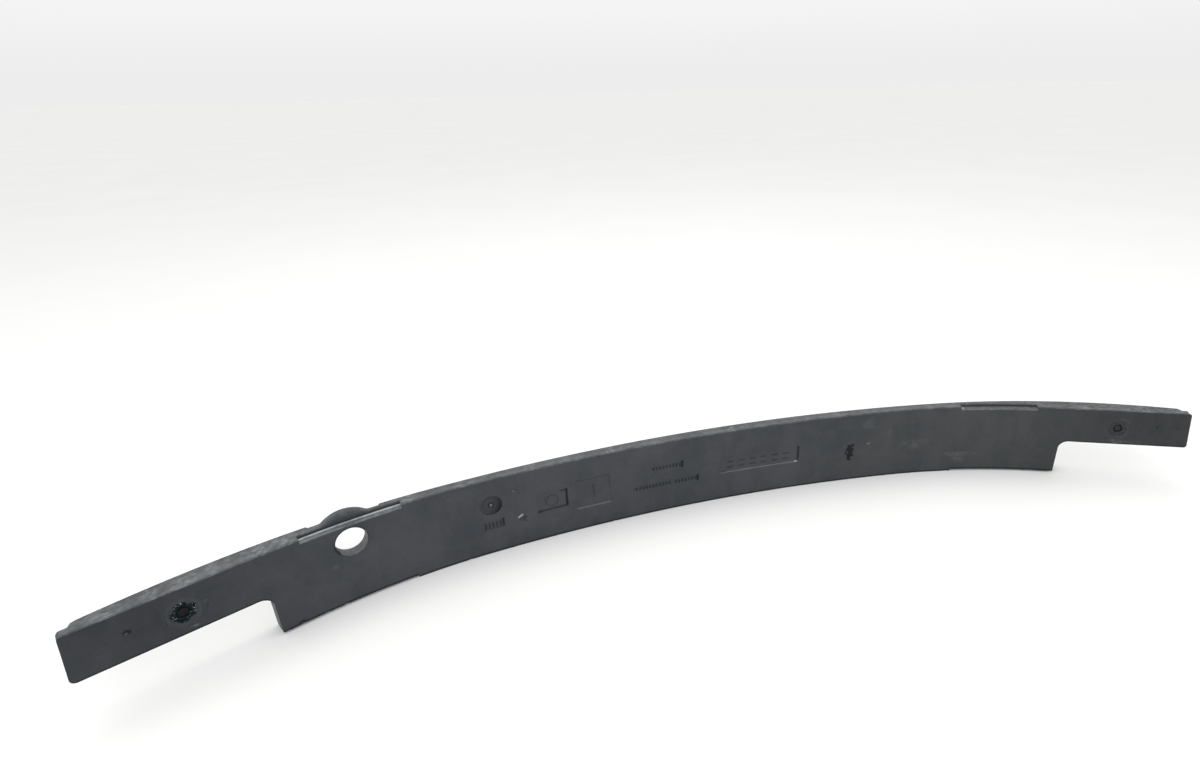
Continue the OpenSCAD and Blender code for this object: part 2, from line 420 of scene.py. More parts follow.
    # small chips along the lower edge
    for cx, cz, r in ((-471, 5, 2.4), (-449, 2, 2.0), (-431, 0, 2.6), (-300, 0, 2.2), (-120, 0, 1.6)):
        s.spot(cx, cz, r * 1.4, r, depth=0.8, soot=0.8)
    return s


# ---------------------------------------------------------------- the foam bar

def corner(w0, z0, w1, z1, bulge):
    """Quarter-round from (w0, z0) to (w1, z1); bulge is the outer corner."""
    points = []
    for i in range(ARC_STEPS + 1):
        t = math.pi / 2 * i / ARC_STEPS
        a, b = 1 - math.sin(t), 1 - math.cos(t)
        points.append((bulge[0] + (w0 - bulge[0]) * a + (w1 - bulge[0]) * b,
                       bulge[1] + (z0 - bulge[1]) * a + (z1 - bulge[1]) * b))
    return points


def spread(a, b, count):
    """Points strictly between a and b."""
    return [(a[0] + (b[0] - a[0]) * i / (count + 1), a[1] + (b[1] - a[1]) * i / (count + 1))
            for i in range(1, count + 1)]


def section(x):
    """Cross-section of the bar at x as (w, z) points and the kind of surface each is on."""
    e = EDGE_R
    t = thickness(x)
    split = min(LEDGE_W, 0.62 * t)
    low = bottom_z(x)
    low_in = low + BASE_REBATE_H * in_base_rebate(x)
    top_in = BAR_H - LEDGE_DEPTH * in_ledge(x)
    top_out = hump_top(x)
    relief = RELIEF_DEPTH * in_relief(x)
    lip = min(0.8, (top_out - top_in) / 2)
    points, kinds = [], []

    def put(new, kind):
        points.extend(new)
        kinds.extend([kind] * len(new))

    foot = FOOT_R
    put(corner(foot, low_in, 0, low_in + foot, (0, low_in)), "low_edge")
    put(spread((0, low_in + foot), (0, top_in - e), FACE_ROWS), "inner")
    put(corner(0, top_in - e, e, top_in, (0, top_in)), "edge")
    put(spread((e, top_in), (split, top_in), 5), "ledge" if in_ledge(x) > 0 else "top")
    rise = top_out - lip - top_in
    put([(split, top_in), (split, top_in + min(1.2, rise / 3)), (split, top_in + 0.65 * rise)], "step")
    put(corner(split, top_out - lip, split + lip, top_out, (split, top_out)), "top")
    t_top = t - relief
    put(spread((split + lip, top_out), (t_top - e, top_out), 4), "top")
    put(corner(t_top - e, top_out, t_top, top_out - e, (t_top, top_out)), "edge")
    for w, z in spread((t, top_out - e), (t, low + foot), BACK_ROWS):
        put([(w - relief * ramp(z, RELIEF_Z - 0.8, RELIEF_Z + 0.8), z)], "outer")
    put(corner(t, low + foot, t - foot, low, (t, low)), "low_edge")
    put(spread((t - foot, low), (split, low), 4), "bottom")
    put([(split, low)], "bottom")
    put([(split, low_in)], "bottom")
    put(spread((split, low_in), (foot, low_in), 3), "bottom")
    return points, kinds


def end_shift(x, z):
    """How far a point near an arm's end moves along the bar, because the end leans."""
    side = 1 if x > 0 else -1
    amount = ramp(abs(x), HALF_LEN - 8, HALF_LEN)
    lean_in = (z - (BAR_H + NOTCH_H) / 2) * END_LEAN / (BAR_H - NOTCH_H)
    radius = END_CORNER_R * (1.6 if x < 0 and z < CLIP_Z else 1.0)
    near = max(0.0, radius - min(z - NOTCH_H, BAR_H - z))
    rounding = radius - math.sqrt(max(0.0, radius ** 2 - near ** 2))
    return -side * amount * (lean_in + rounding)


def bar_arrays():
    """Positions and masks of the bar's vertices, as station by ring arrays."""
    xs = stations()
    sections = [section(x) for x in xs]
    rings = np.array([points for points, _ in sections])
    kind_grid = np.array([kinds for _, kinds in sections])
    w, z = rings[:, :, 0], rings[:, :, 1]
    xg = np.repeat(np.array(xs)[:, None], w.shape[1], axis=1)
    masks = {name: np.zeros_like(w) for name in MASKS}
    inner = kind_grid[0] == "inner"
    marks = inner_marks(xg[:, inner], z[:, inner])
    w[:, inner] += np.clip(marks.depth, -0.2, 4.0)
    for name in masks:
        masks[name][:, inner] = getattr(marks, name)
    # painted shade: a dark line along the foot of the inner face
    lowest = z[:, inner].min(axis=1, keepdims=True)
    foot_line = np.clip(1.7 - (z[:, inner] - lowest), 0, 1)
    masks["soot"][:, inner] = np.maximum(masks["soot"][:, inner], 0.85 * foot_line)

    grain = rough(xg, z + 3 * w, 9, 5.5)
    patch = rough(xg, z + 2 * w, 34, 8.8)
    fine = rough(xg, z + 4 * w, 3.2, 2.2)
    w += np.where(~inner & (w > LEDGE_W / 2), 0.07 * grain - 0.12, 0)
    top = kind_grid == "top"
    z += np.where(top, 0.10 * fine * (grain > 0.1), 0)
    edge = kind_grid == "edge"
    chip = np.clip(fine - 0.75, 0, 1)
    z -= np.where(edge | top, 0.25 * chip, 0)
    low_edge = kind_grid == "low_edge"
    for cx, depth in ((-471, 0.9), (-449, 0.8), (-431, 1.3), (-300, 0.9), (-120, 0.5), (352, 0.6)):
        near = np.clip(1 - np.abs(xg - cx) / 3.2, 0, 1) * low_edge
        z += depth * near
    near_face = np.clip(1.2 - w / 9.0, 0, 1)
    masks["rub"] += np.where(top, np.clip(0.29 + 0.10 * near_face + 0.10 * patch + 0.14 * fine, 0, 0.75), 0)
    masks["rub"] += np.where(edge, np.clip(0.20 + 0.08 * grain + 0.12 * fine, 0, 0.7), 0)
    for cx, half in TOP_SCUFFS:
        bare = np.clip(1.3 - np.abs(xg - cx) / half, 0, 1) * np.clip(0.55 + 0.9 * fine, 0, 1)
        masks["rub"] += np.where(top | edge, 0.34 * bare, 0)
    masks["soot"] += np.where(top & (xg > BEND_END), np.clip(-0.45 - 1.3 * fine, 0, 0.6), 0)
    # painted shade along the far top edge, where it turns down towards the outer face
    masks["soot"] += np.where(edge & (w > LEDGE_W), 0.35, 0)
    # the left ledge is worn pale, with a painted highlight along its back half; the right one is painted bright
    # only at its start
    back_half = np.clip((w - 4.4) / 1.2, 0, 1)
    white = np.where(xg < 0, 0.44 + 0.56 * back_half, 0.34 + 0.12 * back_half)
    white = np.maximum(white, np.clip(1.6 - np.abs(xg - LEDGE[0] - 2.0) / 2.2, 0, 1))
    masks["rub"] += np.where(kind_grid == "ledge", np.clip(white + 0.08 * fine, 0, 1), 0)
    ledge_edge = edge & (w < LEDGE_W) & (np.vectorize(in_ledge)(xg) > 0.5)
    masks["rub"] += np.where(ledge_edge, np.where(xg < 0, 0.30, 0.12), 0)
    masks["rub"] += np.where(kind_grid == "outer", np.clip(0.10 * patch + 0.14 * fine, 0, 1), 0)
    # painted shade along the lower rounded edges
    masks["soot"] += np.where(low_edge, 0.75, 0)
    # painted shade at the foot of each ledge's back wall, painted light higher up on the step
    above = z - (BAR_H - LEDGE_DEPTH)
    shade = np.clip(1.25 - above / 2.0, 0, 1) * (np.vectorize(in_ledge)(xg) > 0.5)
    masks["soot"] += np.where(kind_grid == "step", 0.10 * shade, 0)
    masks["rub"] += np.where((kind_grid == "step") & (shade < 0.5), 0.16, 0)
    arm_grime = 0.44 * np.clip((np.abs(xg) - 430) / 130, 0, 1)
    masks["soot"][:, inner] = np.maximum(masks["soot"], arm_grime)[:, inner]
    return xs, w, z, masks


def bar_vertices(xs, w, z):
    """World positions in metres."""
    out = np.zeros(w.shape + (3,))
    for i, x in enumerate(xs):
        origin, along, _, inward = face_frame(x, 0)
        shift = np.array([end_shift(x, value) for value in z[i]]) if abs(x) > HALF_LEN - 9 else 0
        out[i, :, 0] = origin.x + inward.x * w[i] + along.x * shift
        out[i, :, 1] = origin.y + inward.y * w[i] + along.y * shift
        out[i, :, 2] = z[i]
    return out * MM


def end_rings(ring, outward):
    """Shrinking rings that round off an arm's end."""
    centre = (ring.min(axis=0) + ring.max(axis=0)) / 2
    half = (ring.max(axis=0) - ring.min(axis=0)) / 2
    half = np.maximum(half, 1e-9)
    rings = []
    for i in range(1, 4):
        t = math.pi / 2 * i / 3
        inset = EDGE_R * MM * (1 - math.cos(t))
        grow = EDGE_R * MM * (math.sin(t) - 1)
        scale = 1 - inset / np.array([0.004, 0.004, half[2]])
        rings.append(centre + (ring - centre) * scale + np.array(outward) * (grow + EDGE_R * MM))
    return rings


def build_bar():
    xs, w, z, masks = bar_arrays()
    verts = bar_vertices(xs, w, z)
    first_along = face_frame(xs[0], 0)[1]
    last_along = face_frame(xs[-1], 0)[1]
    # the last sections draw back so that the rounded end still stops at the true length
    verts[0] += np.array(first_along) * EDGE_R * MM
    verts[-1] -= np.array(last_along) * EDGE_R * MM
    head = end_rings(verts[0], -first_along)[::-1]
    tail = end_rings(verts[-1], last_along)
    verts = np.concatenate([np.array(head), verts, np.array(tail)])
    n, m = verts.shape[:2]
    for name in masks:
        rows = [masks[name][:1]] * len(head) + [masks[name]] + [masks[name][-1:]] * len(tail)
        masks[name] = np.concatenate(rows)
    index = np.arange(n * m).reshape(n, m)
    ahead = np.roll(index, -1, axis=1)
    quads = np.stack([index[:-1], index[1:], ahead[1:], ahead[:-1]], axis=-1).reshape(-1, 4)
    faces = quads.tolist() + [index[0].tolist(), index[-1][::-1].tolist()]
    mesh = bpy.data.meshes.new("absorber_foam")
    mesh.from_pydata(verts.reshape(-1, 3).tolist(), [], faces)
    for name, values in masks.items():
        set_mask(mesh, name, values)
    bm = bmesh.new()
    bm.from_mesh(mesh)
    bmesh.ops.remove_doubles(bm, verts=bm.verts, dist=2e-6)
    bmesh.ops.dissolve_degenerate(bm, edges=bm.edges, dist=2e-6)
    bmesh.ops.triangulate(bm, faces=[f for f in bm.faces if len(f.verts) > 4])
    bmesh.ops.recalc_face_normals(bm, faces=bm.faces)
    bm.to_mesh(mesh)
    bm.free()
    bar = add_object("absorber_foam", mesh)
    for cutter in (passage_cutter(), clip_cutter(-CLIP_X, 0.0), clip_cutter(CLIP_X, 2.4), dial_cutter()):
        cut_away(bar, cutter)
    paint_cuts(bar)
    smooth(bar, 38)
    return bar


# ---------------------------------------------------------------- helpers for round shapes

def set_mask(mesh, name, values):
    layer = mesh.attributes.get(name) or mesh.attributes.new(name, "FLOAT", "POINT")
    layer.data.foreach_set("value", np.clip(np.asarray(values, np.float32), 0, 1).ravel())


def add_object(name, mesh):
    obj = bpy.data.objects.new(name, mesh)
    bpy.context.scene.collection.objects.link(obj)
    return obj


def smooth(obj, degrees):
    obj.data.shade_smooth()
    obj.data.set_sharp_from_angle(angle=math.radians(degrees))


def place(frame_at, u, v, w):
    """Local (along the bar, up, into the foam) to metres."""
    origin, along, up, inward = frame_at
    return (origin + along * u + up * v + inward * w) * MM


def lathe(name, profile, frame_at, segments=96, wobble=None):
    """Turned solid about the inward direction; profile is (radius, depth) from axis to axis or closed."""
    bm = bmesh.new()
    loops = []
    for k, (r, w) in enumerate(profile):
        if r < 1e-6:
            loops.append([bm.verts.new(place(frame_at, 0, 0, w))])
            continue
        loop = []
        for i in range(segments):
            a = 2 * math.pi * i / segments
            rr, ww = wobble(k, r, w, a) if wobble else (r, w)
            loop.append(bm.verts.new(place(frame_at, rr * math.cos(a), rr * math.sin(a), ww)))
        loops.append(loop)
    closed = profile[0][0] > 1e-6 and profile[-1][0] > 1e-6
    pairs = list(zip(loops, loops[1:])) + ([(loops[-1], loops[0])] if closed else [])
    for a, b in pairs:
        for i in range(segments):
            j = (i + 1) % segments
            if len(a) == 1:
                bm.faces.new((a[0], b[i], b[j]))
            elif len(b) == 1:
                bm.faces.new((a[i], b[0], a[j]))
            else:
                bm.faces.new((a[i], b[i], b[j], a[j]))
    bmesh.ops.recalc_face_normals(bm, faces=bm.faces)
    mesh = bpy.data.meshes.new(name)
    bm.to_mesh(mesh)
    bm.free()
    return add_object(name, mesh)


def cut_away(obj, cutter):
    """Cuts a solid away and removes it."""
    cutter_mesh = cutter.data
    modifier = obj.modifiers.new("cut", "BOOLEAN")
    modifier.operation = "DIFFERENCE"
    modifier.solver = "EXACT"
    modifier.object = cutter
    graph = bpy.context.evaluated_depsgraph_get()
    mesh = bpy.data.meshes.new_from_object(obj.evaluated_get(graph))
    obj.modifiers.clear()
    old = obj.data
    obj.data = mesh
    bpy.data.meshes.remove(old)
    bpy.data.objects.remove(cutter)
    bpy.data.meshes.remove(cutter_mesh)


def passage_cutter():
    frame_at = face_frame(TOW_X, TOW_Z)
    e = 0.9
    exit_w = thickness(TOW_X) - RELIEF_DEPTH
    profile = [(0, -6), (TOW_R + e, -6), (TOW_R + e, -0.2)]
    for i in range(1, 5):
        t = math.pi / 2 * i / 4
        profile.append((TOW_R + e * (1 - math.sin(t)), -0.2 + (e + 0.2) * (1 - math.cos(t))))
    for i in range(5):
        t = math.pi / 2 * i / 4
        profile.append((TOW_R + e * (1 - math.cos(t)), exit_w - e + e * math.sin(t)))
    profile += [(TOW_R + e, exit_w + 9), (0, exit_w + 9)]
    return lathe("cutter", profile, frame_at)


def clip_cutter(x, slope):
    """Clip pocket and seat; slope widens the seat's rim into a gentle bank."""
    frame_at = face_frame(x, CLIP_Z)
    pocket_r = FLANGE_R + 0.06
    pocket_w = SEAT_DEPTH + FLANGE_T + 0.1
    bore_r = BARB_R + 0.1
    bore_w = SEAT_DEPTH + FLANGE_T + SHANK_LEN + 0.3
    profile = [
        (0, -5), (SEAT_R + 0.7, -5), (SEAT_R + 0.7, -0.25), (SEAT_R + 0.3, 0.1),
        (SEAT_R - slope * 0.5, 0.6), (SEAT_R - 0.3 - slope, 1.0), (SEAT_R - 0.9 - slope, SEAT_DEPTH),
        (pocket_r + 0.1, SEAT_DEPTH), (pocket_r, SEAT_DEPTH + 0.1), (pocket_r, pocket_w), (bore_r, pocket_w), (bore_r, bore_w),
        (0, bore_w),
    ]
    return lathe("cutter", profile, frame_at)


def dial_cutter():
    cx, cz, r = DIAL
    frame_at = face_frame(cx, cz)
    profile = [
        (0, -5), (r + 0.6, -5), (r + 0.6, -0.2), (r + 0.15, 0.2), (r - 0.1, 1.1), (r - 0.6, 1.35),
        (9.7, 1.3), (9.3, 0.75), (8.6, 0.7), (8.2, 1.25), (5.4, 1.3), (5.0, 1.0), (4.4, 1.0), (4.1, 1.3),
        (2.7, 1.3), (2.4, 0.6), (1.4, 0.5), (1.1, 1.1), (0, 1.1),
    ]
    return lathe("cutter", profile, frame_at)


def paint_cuts(bar):
    """Masks inside the passage, the clip seats and the dial."""
    mesh = bar.data
    points = np.empty(len(mesh.vertices) * 3)
    mesh.vertices.foreach_get("co", points)
    points = points.reshape(-1, 3) / MM
    masks = {name: np.empty(len(points)) for name in MASKS}
    for name, values in masks.items():
        mesh.attributes[name].data.foreach_get("value", values)

    def inside(x, z, radius, deepest):
        origin, *axes = (np.array(v) for v in face_frame(x, z))
        u, v, w = ((points - origin) @ axis for axis in axes)
        r = np.hypot(u, v)
        return u, v, w, r, (r < radius) & (w > 0.2) & (w < deepest)

    u, v, w, r, found = inside(TOW_X, TOW_Z, TOW_R + 1, thickness(TOW_X) - RELIEF_DEPTH - 0.3)
    # painted light on the passage wall; painted shadow on the upper-left half of its front rim
    masks["rub"][found] = 0.40
    masks["soot"][found] = 0
    shaded_rim = (r < TOW_R + 1.4) & (w > -0.3) & (w < 0.95) & (v - 0.8 * u > 0)
    masks["rub"][shaded_rim] = 0
    masks["soot"][shaded_rim] = 0.75
    for x, darkening in ((-CLIP_X, 0.16), (CLIP_X, 0.26)):
        found = inside(x, CLIP_Z, SEAT_R + 0.6, SEAT_DEPTH + FLANGE_T + SHANK_LEN + 1)[-1]
        masks["soot"][found] = darkening
        masks["rub"][found] = 0
    # painted shade darkens the dial, most along its right and lower rim and in a ring round a small painted
    # highlight at the centre; its left edge is painted a little lighter
    cx, cz, radius = DIAL
    u, v, w, r, found = inside(cx, cz, radius + 0.4, 2)
    side = (0.85 * u - 0.45 * v) / radius
    soot = 0.34 + 0.75 * np.clip(side, -0.2, 1) * np.clip(r / radius, 0, 1) + 0.5 * (r < 3.2)
    centre = np.clip(1.9 - r, 0, 1)
    masks["soot"][found] = np.clip(soot * (1 - centre), 0, 1)[found]
    masks["rub"][found] = np.clip(0.95 * centre + 0.20 * np.clip(-side - 0.75, 0, 1), 0, 1)[found]
    for name, values in masks.items():
        set_mask(mesh, name, values)


# ---------------------------------------------------------------- clips and pins

def clip_profile():
    """(radius, depth) loop of a clip body, from the bore's mouth outwards and back up the bore."""
    front = SEAT_DEPTH
    radii = [BORE_R, 3.6, 4.4, 4.9, 5.4, 5.9, 6.4, 6.9, 7.4, 7.9, 8.4, 8.9, 9.4, 9.9, 10.4, 10.9]
    profile = [(r, front) for r in radii]
    profile += [(FLANGE_R - 0.1, front), (FLANGE_R, front + 0.1), (FLANGE_R, front + FLANGE_T - 0.3)]
    profile += [(FLANGE_R - 0.3, front + FLANGE_T), (BARB_R, front + FLANGE_T), (SHANK_R, front + FLANGE_T)]
    for i in range(BARB_COUNT):
        start = front + FLANGE_T + BARB_PITCH * i + BARB_LEN
        profile += [(SHANK_R, start - 0.1), (BARB_R, start), (BARB_R, start + 0.2), (SHANK_R, start + BARB_LEN)]
    end = front + FLANGE_T + SHANK_LEN
    profile += [(SHANK_R, end - 0.6), (SHANK_R - 0.6, end), (BORE_R + 0.3, end), (BORE_R, end - 0.3)]
    profile += [(BORE_R, end - 5), (BORE_R, front + 4.0)]
    return profile, len(radii)


def build_clip(name, x, seed, mouth, sunk, shards, flakes, skins):
    """Clip body with a mouth torn to a mean radius and depth, shards round it and flakes at (u, v, size)."""
    draw = random.Random(seed)
    frame_at = face_frame(x, CLIP_Z)
    profile, front_count = clip_profile()

    def tear(a):
        big = noise.noise(Vector((math.cos(a) * 1.3, math.sin(a) * 1.3, seed)))
        small = noise.noise(Vector((math.cos(a) * 4.6, math.sin(a) * 4.6, seed + 5.0)))
        return max(PIN_HEAD_R + 0.8, min(mouth * (1 + 0.28 * big + 0.24 * small), FLANGE_R - 0.5))

    def wobble(k, r, w, a):
        if k >= front_count:
            return r, w
        lip = ramp(r, tear(a) - 0.5, tear(a) + 0.4) if r > PIN_HEAD_R + 0.4 else 0.0
        point = Vector((r * math.cos(a), r * math.sin(a), seed))
        chips = noise.noise(point * 0.9) + 0.6 * noise.noise(point * 2.1)
        floor = sunk + 0.3 * chips if r > 6.2 else min(3.0, sunk + 1.0) + 0.6 * chips
        floor = max(floor, MOUTH_DEPTH + 0.2) if r < PIN_HEAD_R + 0.4 else floor
        rim = 0.15 * max(0.0, chips)
        return r, w + floor * (1 - lip) + rim * lip

    body = lathe(name, profile, frame_at, segments=120, wobble=wobble)
    dust, darkening = [], []
    for vert in body.data.vertices:
        local = vert.co / MM - frame_at[0]
        u, v, w = local.dot(frame_at[1]), local.z, local.dot(frame_at[3])
        r = math.hypot(u, v)
        edge_r = tear(math.atan2(v, u))
        kept = ramp(r, edge_r - 0.2, edge_r + 0.9) * (w < SEAT_DEPTH + 1.0)
        dust.append(kept)
        darkening.append(1 - kept)
    set_mask(body.data, "rub", dust)
    set_mask(body.data, "soot", darkening)
    for angle in (45, 135):
        cut_away(body, slot_cutter(frame_at, math.radians(angle)))
    bm = bmesh.new()
    bm.from_mesh(body.data)
    dust_layer = bm.verts.layers.float["rub"]

    def splinter(corners, material):
        verts = [bm.verts.new(place(frame_at, *corner_point)) for corner_point in corners]
        for vert in verts:
            vert[dust_layer] = 0
        for tri in ((0, 1, 2), (1, 0, 3), (2, 1, 3), (0, 2, 3)):
            bm.faces.new([verts[t] for t in tri]).material_index = material

    for _ in range(shards):
        a = draw.uniform(0, 2 * math.pi)
        root = tear(a) + draw.uniform(0.0, 0.8)
        tip = max(4.75, root - draw.uniform(0.9, 3.0))
        half = draw.uniform(0.35, 1.1)
        depth0 = SEAT_DEPTH + draw.uniform(0.05, 0.5)
        depth1 = SEAT_DEPTH + draw.uniform(0.25, 1.5)
        skew = draw.uniform(-0.25, 0.25)
        deep = max(depth0, depth1) + draw.uniform(0.35, 0.7)
        polar = ((root, a - half / root, depth0), (root, a + half / root, depth0 + 0.15),
                 (tip, a + skew, depth1), ((root + tip) / 2, a + skew / 2, deep))
        splinter([(r * math.cos(t), r * math.sin(t), w) for r, t, w in polar], int(draw.random() < 0.25))
    for u, v, size in flakes:
        turned = draw.uniform(0, 2 * math.pi)
        corners = [(u + size * draw.uniform(0.7, 1.2) * math.cos(turned + i * 2.1),
                    v + size * draw.uniform(0.5, 0.9) * math.sin(turned + i * 2.1),
                    SEAT_DEPTH + draw.uniform(1.0, 1.7)) for i in range(3)]
        splinter(corners + [(u, v, SEAT_DEPTH + draw.uniform(0.1, 0.5))], 1)
    bmesh.ops.recalc_face_normals(bm, faces=bm.faces)
    dress(body, *skins)
    bm.to_mesh(body.data)
    bm.free()
    smooth(body, 24)
    return body


def slot_cutter(frame_at, angle):
    """Thin box that splits the shank into legs."""
    bm = bmesh.new()
    start = SEAT_DEPTH + FLANGE_T + SLOT_START
    end = SEAT_DEPTH + FLANGE_T + SHANK_LEN + 2
    verts = {}
    for i in (-1, 1):
        for j in (-1, 1):
            for k, w in ((0, start), (1, end)):
                u, v = i * 9.0, j * SLOT_W / 2
                c, s = math.cos(angle), math.sin(angle)
                verts[i, j, k] = bm.verts.new(place(frame_at, u * c - v * s, u * s + v * c, w))
    bmesh.ops.convex_hull(bm, input=list(verts.values()))
    mesh = bpy.data.meshes.new("cutter")
    bm.to_mesh(mesh)
    bm.free()
    return add_object("cutter", mesh)


def build_pin(name, x, seed):
    """Spreader pin: a dished, chipped head on a tapered shaft."""
    frame_at = face_frame(x, CLIP_Z)
    front = SEAT_DEPTH + 0.8
    back = SEAT_DEPTH + MOUTH_DEPTH - 0.03
    tip = SEAT_DEPTH + FLANGE_T + SHANK_LEN - 1
    head = [(0, front + 0.25), (0.6, front + 0.25), (1.1, front + 0.2), (1.6, front + 0.2), (2.1, front + 0.12),
            (2.6, front + 0.1), (3.1, front + 0.04), (3.6, front), (3.9, front + 0.08), (4.1, front + 0.25),
            (PIN_HEAD_R, front + 0.5)]
    shaft = [(PIN_HEAD_R, back - 0.1), (PIN_HEAD_R - 0.1, back), (PIN_R, back), (PIN_R, tip - 3),
             (2.4, tip - 2), (1.7, tip - 0.8), (1.0, tip - 0.1), (0.6, tip), (0, tip)]

    def wobble(k, r, w, a):
        if k >= len(head):
            return r, w
        point = Vector((r * math.cos(a), r * math.sin(a), seed))
        chips = noise.noise(point * 0.8) + 0.6 * noise.noise(point * 2.2) + 0.1
        return r, min(w + 0.6 * max(0.0, chips), back - 0.2)

    pin = lathe(name, head + shaft, frame_at, segments=72, wobble=wobble)
    smooth(pin, 30)
    return pin


# ---------------------------------------------------------------- materials

class Nodes:
    """Small helper for node trees."""

    def __init__(self, name):
        self.material = bpy.data.materials.new(name)
        self.material.use_nodes = True
        self.tree = self.material.node_tree
        self.shader = self.tree.nodes["Principled BSDF"]
        self.position = self.new("ShaderNodeTexCoord").outputs["Object"]

    def new(self, kind, **settings):
        node = self.tree.nodes.new(kind)
        for key, value in settings.items():
            setattr(node, key, value)
        return node

    def link(self, source, target):
        self.tree.links.new(source, target)

    def noise(self, scale, detail=3.0, roughness=0.55, distortion=0.0, stretch=None):
        node = self.new("ShaderNodeTexNoise")
        node.inputs["Scale"].default_value = scale
        node.inputs["Detail"].default_value = detail
        node.inputs["Roughness"].default_value = roughness
        node.inputs["Distortion"].default_value = distortion
        self.link(self.stretched(stretch), node.inputs["Vector"])
        return node.outputs["Fac"]

    def cells(self, scale, feature="F1"):
        node = self.new("ShaderNodeTexVoronoi", feature=feature)
        node.inputs["Scale"].default_value = scale
        self.link(self.position, node.inputs["Vector"])
        return node.outputs["Distance"]

    def stretched(self, stretch):
        if stretch is None:
            return self.position
        node = self.new("ShaderNodeMapping")
        node.inputs["Scale"].default_value = stretch
        self.link(self.position, node.inputs["Vector"])
        return node.outputs["Vector"]

    def attribute(self, name):
        node = self.new("ShaderNodeAttribute", attribute_name=name, attribute_type="GEOMETRY")
        return node.outputs["Fac"]

    def spread(self, value, low, high, to_low=0.0, to_high=1.0):
        node = self.new("ShaderNodeMapRange")
        node.inputs["From Min"].default_value = low
        node.inputs["From Max"].default_value = high
        node.inputs["To Min"].default_value = to_low
        node.inputs["To Max"].default_value = to_high
        self.link(value, node.inputs["Value"])
        return node.outputs["Result"]

    def math(self, operation, a, b, clamp=True):
        node = self.new("ShaderNodeMath", operation=operation, use_clamp=clamp)
        for socket, value in zip(node.inputs, (a, b)):
            if isinstance(value, (int, float)):
                socket.default_value = value
            else:
                self.link(value, socket)
        return node.outputs["Value"]

    def mix(self, amount, a, b):
        node = self.new("ShaderNodeMix", data_type="RGBA")
        self.link(amount, node.inputs["Factor"])
        for socket, value in ((node.inputs[6], a), (node.inputs[7], b)):
            if isinstance(value, tuple):
                socket.default_value = (*value, 1)
            else:
                self.link(value, socket)
        return node.outputs[2]

    def bump(self, *layers):
        """Stacks bumps given as (height, strength, distance)."""
        normal = None
        for height, strength, distance in layers:
            node = self.new("ShaderNodeBump")
            node.inputs["Strength"].default_value = strength
            node.inputs["Distance"].default_value = distance
            self.link(height, node.inputs["Height"])
            if normal is not None:
                self.link(normal, node.inputs["Normal"])
            normal = node.outputs["Normal"]
        self.link(normal, self.shader.inputs["Normal"])


def foam_material():
    n = Nodes("charcoal_foam_skin")
    clouds = n.spread(n.noise(13, 4, 0.62, 0.6), 0.36, 0.64)
    mottle = n.spread(n.noise(62, 4, 0.66, 0.3), 0.36, 0.64)
    streak = n.spread(n.noise(26, 4, 0.62, 0.2, (1.0, 1.0, 0.36)), 0.44, 0.66)
    speck = n.noise(620, 3, 0.7)
    beads = n.cells(290)
    drift = n.spread(n.noise(2.6, 2, 0.5), 0.38, 0.62)
    split = n.new("ShaderNodeSeparateXYZ")
    n.link(n.position, split.inputs["Vector"])
    olive = n.spread(split.outputs["X"], 0.05, 0.45, 0.0, 0.55)
    blotch = n.spread(n.noise(38, 5, 0.7, 0.8), 0.42, 0.62)
    base = n.mix(clouds, (0.024, 0.028, 0.036), (0.053, 0.054, 0.061))
    base = n.mix(n.math("MULTIPLY", drift, 0.5), base, (0.034, 0.040, 0.037))
    base = n.mix(olive, base, (0.042, 0.044, 0.037))
    base = n.mix(n.math("MULTIPLY", blotch, 0.35), base, (0.052, 0.046, 0.053))
    base = n.mix(n.math("MULTIPLY", mottle, 0.6), base, (0.028, 0.037, 0.044))
    base = n.mix(n.math("MULTIPLY", streak, 0.55), base, (0.058, 0.056, 0.064))
    base = n.mix(n.spread(speck, 0.55, 0.78, 0, 0.35), base, (0.075, 0.080, 0.086))
    base = n.mix(n.spread(beads, 0.0, 0.5, 0.0, 0.22), base, (0.022, 0.025, 0.029))
    rub = n.attribute("rub")
    torn = n.spread(n.noise(210, 4, 0.75, 0.4, (0.5, 0.5, 1.0)), 0.36, 0.62)
    rubbed = n.math("MULTIPLY", rub, n.math("ADD", n.math("MULTIPLY", torn, 0.62), 0.38))
    # pale tone: worn skin, and painted light on the passage wall, the ledges and the step
    base = n.mix(rubbed, base, (0.270, 0.285, 0.290))
    # palest tone: bare scuffs, and painted highlights in the dimples, at the dial's centre, on the left ledge and
    # along plate edges
    base = n.mix(n.spread(rub, 0.80, 1.0, 0.0, 0.85), base, (0.50, 0.53, 0.54))
    soot = n.attribute("soot")
    # darkest tone: dirt, and painted shade in grooves, pits, the dial, round the passage rim and along the lower
    # edges
    base = n.mix(n.math("MULTIPLY", soot, 0.92), base, (0.006, 0.008, 0.010))
    n.link(base, n.shader.inputs["Base Color"])
    gloss = n.attribute("gloss")
    rough_base = n.math("ADD", n.spread(n.noise(60, 3, 0.6), 0.3, 0.7, 0.44, 0.60), n.math("MULTIPLY", soot, 0.4))
    n.link(n.math("SUBTRACT", rough_base, n.math("MULTIPLY", gloss, 0.34)), n.shader.inputs["Roughness"])
    n.shader.inputs["Specular IOR Level"].default_value = 0.32
    n.bump(
        (n.noise(24, 3, 0.5), 0.25, 0.0010),
        (beads, 0.22, 0.0004),
        (n.noise(900, 3, 0.7), 0.30, 0.00018),
        (torn, 0.10, 0.0003),
    )
    return n.material


